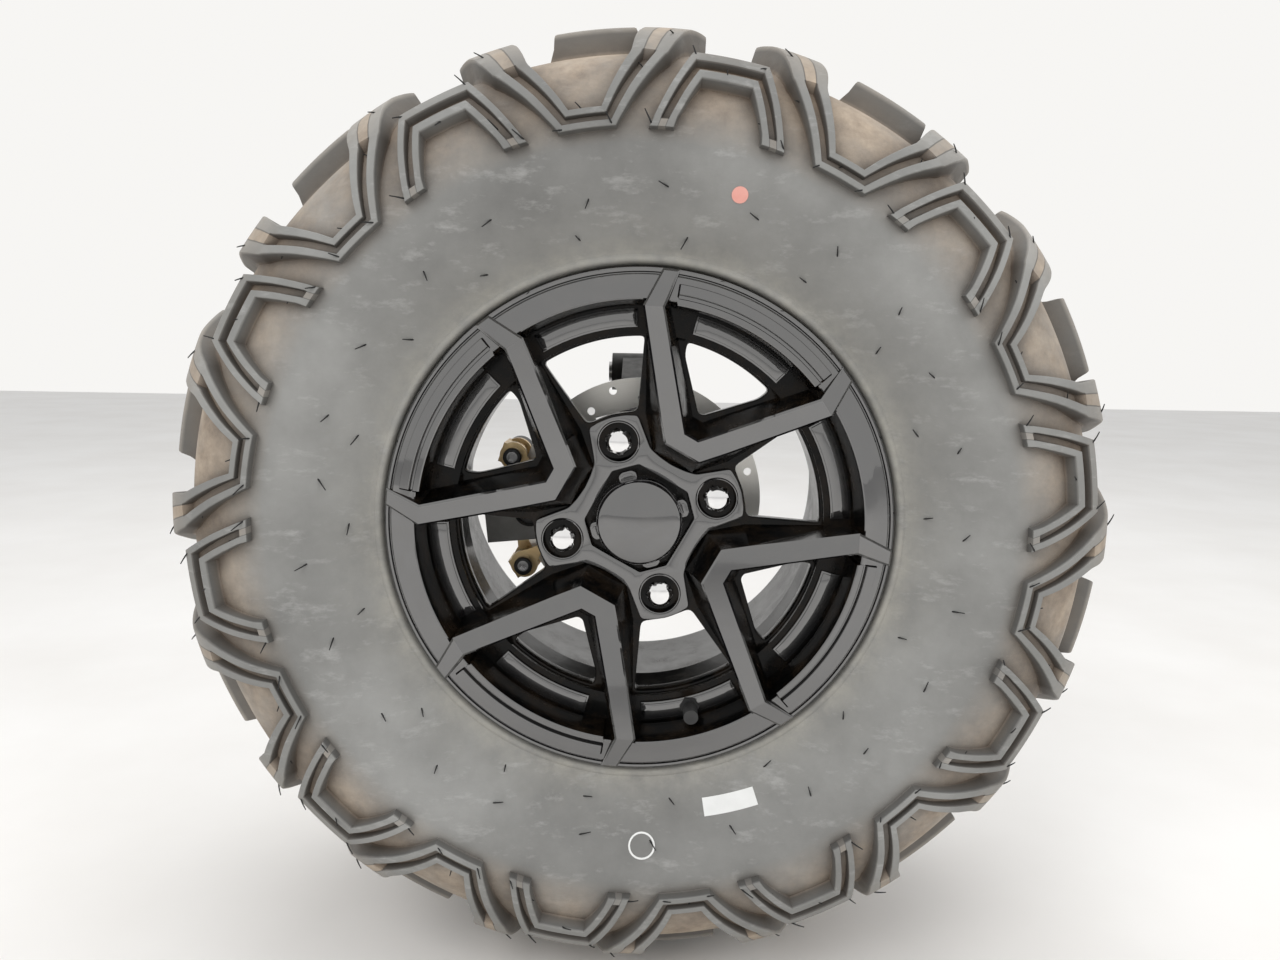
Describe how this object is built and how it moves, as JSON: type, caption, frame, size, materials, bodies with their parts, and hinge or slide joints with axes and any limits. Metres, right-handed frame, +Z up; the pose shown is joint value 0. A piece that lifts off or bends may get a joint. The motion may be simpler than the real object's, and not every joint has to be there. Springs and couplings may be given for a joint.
{
  "type": "quad bike rear wheel end",
  "caption": "Rear wheel end of a quad bike: lugged tyre on a black V-spoke alloy rim, hub, drilled brake disc, caliper, knuckle and half-shaft.",
  "frame": {"origin": "centre of the knuckle's lower arm bore, which holds the part", "axes": "+X the vehicle's forward, along the lower arm bore; +Y inboard along the axle; +Z up"},
  "size_m": [0.6618, 0.5115, 0.6618],
  "materials": {
    "tyre": "dusty matt rubber",
    "gloss_black_paint": "gloss black paint on alloy",
    "gloss_black_plastic": "gloss",
    "black_rubber": "matt",
    "chrome": "bright",
    "steel": "machined",
    "brushed_steel": "brushed by the pads",
    "cast_iron": "black coated casting",
    "cast_aluminium": "black coated casting",
    "gold_zinc": "yellow passivated zinc",
    "black_steel": "black oxide",
    "dark_grey_casting": "dark grey paint",
    "pad": "sintered lining on a steel back"
  },
  "bodies": {
    "knuckle": {"knuckle": "cast_aluminium", "wheel_bearing": "steel", "lower_arm_sleeve": "steel", "upper_arm_sleeve": "steel", "caliper_bracket": "gold_zinc", "bracket_bolts": "black_steel", "caliper_body": "dark_grey_casting", "caliper_piston": "steel", "brake_pad_outer": "pad", "brake_pad_inner": "pad"},
    "wheel": {"tyre": "tyre", "alloy_rim": "gloss_black_paint", "centre_cap": "gloss_black_plastic", "valve_stem": "black_rubber", "lug_nut_1": "chrome", "lug_nut_2": "chrome", "lug_nut_3": "chrome", "lug_nut_4": "chrome", "wheel_stud_1": "steel", "wheel_stud_2": "steel", "wheel_stud_3": "steel", "wheel_stud_4": "steel", "wheel_hub": "cast_iron", "axle_nut": "steel", "brake_disc": "brushed_steel", "disc_bolts": "steel", "joint_housing": "steel", "cv_boot": "black_rubber", "boot_clamps": "steel", "half_shaft": "steel"}
  },
  "joints": [
    {"name": "wheel_spin", "type": "hinge", "parent": "knuckle", "child": "wheel", "pos_m": [0, -0.165, 0.098], "axis": [0, 1, 0], "continuous": true}
  ]
}
